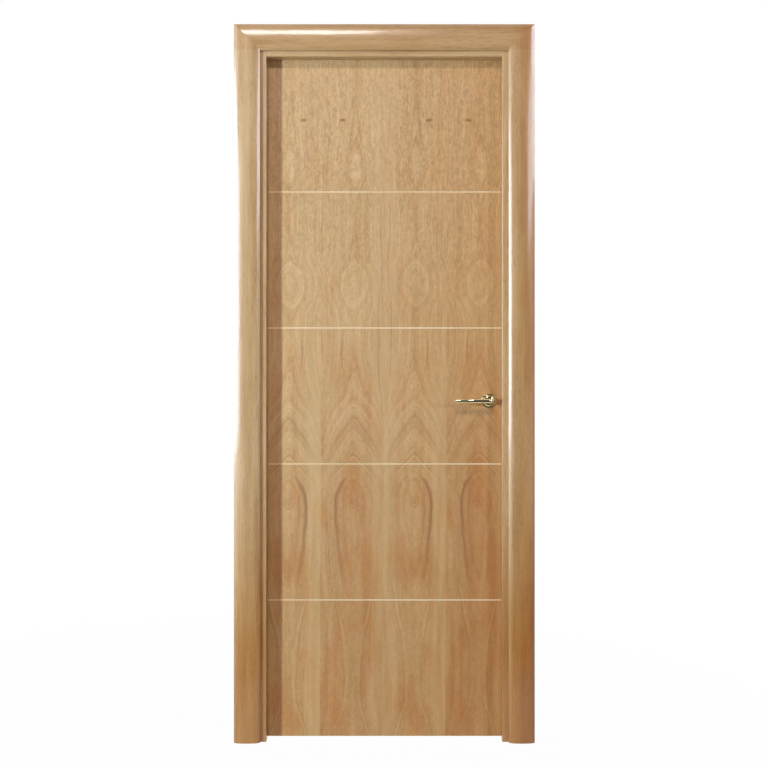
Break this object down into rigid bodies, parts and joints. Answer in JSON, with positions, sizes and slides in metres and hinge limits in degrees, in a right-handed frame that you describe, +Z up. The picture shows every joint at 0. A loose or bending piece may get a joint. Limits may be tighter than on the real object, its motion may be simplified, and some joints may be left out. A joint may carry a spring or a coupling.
{
  "type": "veneer door",
  "caption": "Single-leaf interior door with book-matched veneer and inlay lines, hung in a lined frame with rounded architraves and lever handles.",
  "frame": {"origin": "on the wall face of the hinge jamb, at floor level, half way through the frame's depth", "axes": "+X across the opening from the hinges to the latch, +Y through the wall towards the side the leaf opens to, +Z up"},
  "size_m": [0.897, 0.1465, 2.121],
  "materials": {
    "frame_wood": "varnished straight-grained frame wood",
    "veneer": "varnished book-matched veneer",
    "core_wood": "plain pine and particle board",
    "inlay": "pale varnished inlay strip",
    "brass": "polished brass",
    "steel": "zinc-plated steel",
    "seal": "brown rubber seal"
  },
  "bodies": {
    "door_frame": {"jamb_hinge_side": "frame_wood", "jamb_latch_side": "frame_wood", "jamb_head": "frame_wood", "stop_hinge_side": "frame_wood", "stop_latch_side": "frame_wood", "stop_head": "frame_wood", "seal_hinge_side": "seal", "seal_latch_side": "seal", "seal_head": "seal", "strike_plate": "brass", "architrave_front_left": "frame_wood", "architrave_front_right": "frame_wood", "architrave_front_head": "frame_wood", "architrave_back_left": "frame_wood", "architrave_back_right": "frame_wood", "architrave_back_head": "frame_wood", "hinge_frame_half_low": "brass", "hinge_frame_half_middle": "brass", "hinge_frame_half_high": "brass", "hinge_pin_low": "steel", "hinge_pin_middle": "steel", "hinge_pin_high": "steel"},
    "door_leaf": {"leaf_stile_hinge": "core_wood", "leaf_stile_lock": "core_wood", "leaf_rail_bottom": "core_wood", "leaf_rail_top": "core_wood", "leaf_core": "core_wood", "leaf_face_front": "veneer", "leaf_face_back": "veneer", "inlay_strips_front": "inlay", "inlay_strips_back": "inlay", "lipping_hinge_edge": "frame_wood", "lipping_lock_edge": "frame_wood", "lock_case": "steel", "lock_forend": "brass", "latch_bolt": "brass", "rose_front": "brass", "rose_back": "brass", "hinge_leaf_half_low": "brass", "hinge_leaf_half_middle": "brass", "hinge_leaf_half_high": "brass"},
    "handle": {"lever_front": "brass", "lever_back": "brass", "spindle": "steel"}
  },
  "joints": [
    {"name": "leaf_swing", "type": "hinge", "parent": "door_frame", "child": "door_leaf", "pos_m": [0.0325, 0.045, 1.02], "axis": [0, 0, 1], "range_deg": [0, 150]},
    {"name": "lever_turn", "type": "hinge", "parent": "door_leaf", "child": "handle", "pos_m": [0.7075, 0.02, 1.002], "axis": [0, -1, 0], "range_deg": [0, 40], "stiffness_Nm_per_rad": 1.2, "springref_deg": -14.32}
  ]
}
